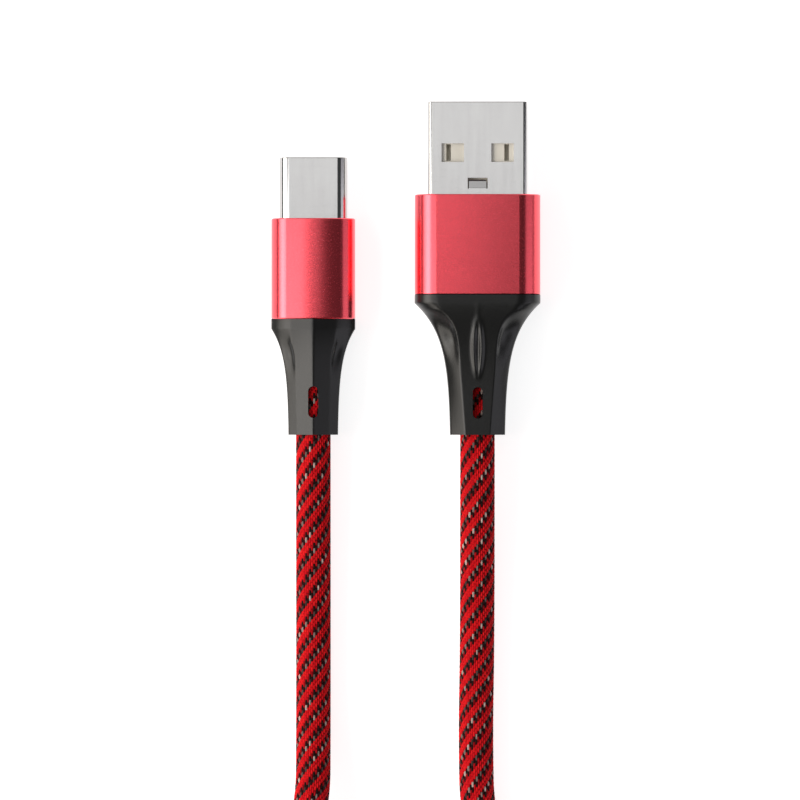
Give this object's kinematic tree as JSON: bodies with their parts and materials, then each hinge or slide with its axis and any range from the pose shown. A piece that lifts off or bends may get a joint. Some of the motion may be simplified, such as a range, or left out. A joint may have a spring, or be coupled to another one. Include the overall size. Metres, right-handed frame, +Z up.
{
  "type": "charging cable",
  "caption": "Braided charging cable with a USB-A plug and a USB-C plug in aluminium housings with moulded strain reliefs; the spare cord is folded into a tied hank.",
  "frame": {"origin": "middle of the box round the two plugs, on the surface that the cable lies on", "axes": "+Y the way both plugs point, +X towards the USB-A plug, +Z up from the surface"},
  "size_m": [0.0378, 0.1864, 0.0118],
  "materials": {
    "nickel_steel": "nickel-plated, satin",
    "red_anodised": "satin red anodising",
    "black_boot": "soft matt thermoplastic rubber",
    "red_braid": "braided polyester yarn, red with black bands",
    "ivory_plastic": "moulded insulator",
    "black_plastic": "moulded insulator",
    "clear_mould": "low-pressure inner moulding",
    "gold_contact": "gold plated",
    "green_board": "solder mask",
    "ceramic_chip": "chip resistor",
    "jacket_black": "extruded inner jacket",
    "wire_red": "insulation",
    "wire_white": "insulation",
    "wire_green": "insulation",
    "wire_black": "insulation",
    "strap_black": "hook-and-loop webbing"
  },
  "bodies": {
    "cable": {"usb_a_shell": "nickel_steel", "usb_a_insulator": "ivory_plastic", "usb_a_contact_gnd": "gold_contact", "usb_a_contact_d_plus": "gold_contact", "usb_a_contact_d_minus": "gold_contact", "usb_a_contact_vbus": "gold_contact", "usb_a_wire_red": "wire_red", "usb_a_wire_white": "wire_white", "usb_a_wire_green": "wire_green", "usb_a_wire_black": "wire_black", "usb_a_jacket_end": "jacket_black", "usb_a_crimp": "nickel_steel", "usb_a_inner_mould": "clear_mould", "usb_a_housing": "red_anodised", "usb_a_boot": "black_boot", "usb_c_shell": "nickel_steel", "usb_c_insulator": "black_plastic", "usb_c_upper_contact_tails": "gold_contact", "usb_c_lower_contact_tails": "gold_contact", "usb_c_mid_plate": "nickel_steel", "usb_c_paddle_board": "green_board", "usb_c_pull_up_resistor": "ceramic_chip", "usb_c_wire_red": "wire_red", "usb_c_wire_white": "wire_white", "usb_c_wire_green": "wire_green", "usb_c_wire_black": "wire_black", "usb_c_jacket_end": "jacket_black", "usb_c_crimp": "nickel_steel", "usb_c_inner_mould": "clear_mould", "usb_c_housing": "red_anodised", "usb_c_boot": "black_boot", "cord_a_run": "red_braid", "cord_c_run": "red_braid", "cord_hank": "red_braid", "hank_tie": "strap_black"},
    "latch_left": {"usb_c_latch_left": "nickel_steel"},
    "latch_right": {"usb_c_latch_right": "nickel_steel"},
    "upper_contacts": {"usb_c_upper_contact_beams": "gold_contact"},
    "lower_contacts": {"usb_c_lower_contact_beams": "gold_contact"},
    "emi_spring_top": {"usb_c_emi_spring_top": "nickel_steel"},
    "emi_spring_bottom": {"usb_c_emi_spring_bottom": "nickel_steel"}
  },
  "joints": [
    {"name": "latch_left_flex", "type": "hinge", "parent": "cable", "child": "latch_left", "pos_m": [-0.01451, 0.00555, 0.0031], "axis": [0, 0, 1], "range_deg": [0, 3], "stiffness_Nm_per_rad": 0.02},
    {"name": "latch_right_flex", "type": "hinge", "parent": "cable", "child": "latch_right", "pos_m": [-0.00787, 0.00555, 0.0031], "axis": [0, 0, -1], "range_deg": [0, 3], "stiffness_Nm_per_rad": 0.02},
    {"name": "upper_contacts_flex", "type": "hinge", "parent": "cable", "child": "upper_contacts", "pos_m": [-0.01119, 0.0056, 0.0036], "axis": [1, 0, 0], "range_deg": [0, 2], "stiffness_Nm_per_rad": 0.02},
    {"name": "lower_contacts_flex", "type": "hinge", "parent": "cable", "child": "lower_contacts", "pos_m": [-0.01119, 0.0056, 0.0026], "axis": [-1, 0, 0], "range_deg": [0, 2], "stiffness_Nm_per_rad": 0.02},
    {"name": "emi_spring_top_flex", "type": "hinge", "parent": "cable", "child": "emi_spring_top", "pos_m": [-0.01119, 0.0114, 0.00393], "axis": [1, 0, 0], "range_deg": [0, 2], "stiffness_Nm_per_rad": 0.01},
    {"name": "emi_spring_bottom_flex", "type": "hinge", "parent": "cable", "child": "emi_spring_bottom", "pos_m": [-0.01119, 0.0114, 0.00227], "axis": [-1, 0, 0], "range_deg": [0, 2], "stiffness_Nm_per_rad": 0.01}
  ]
}
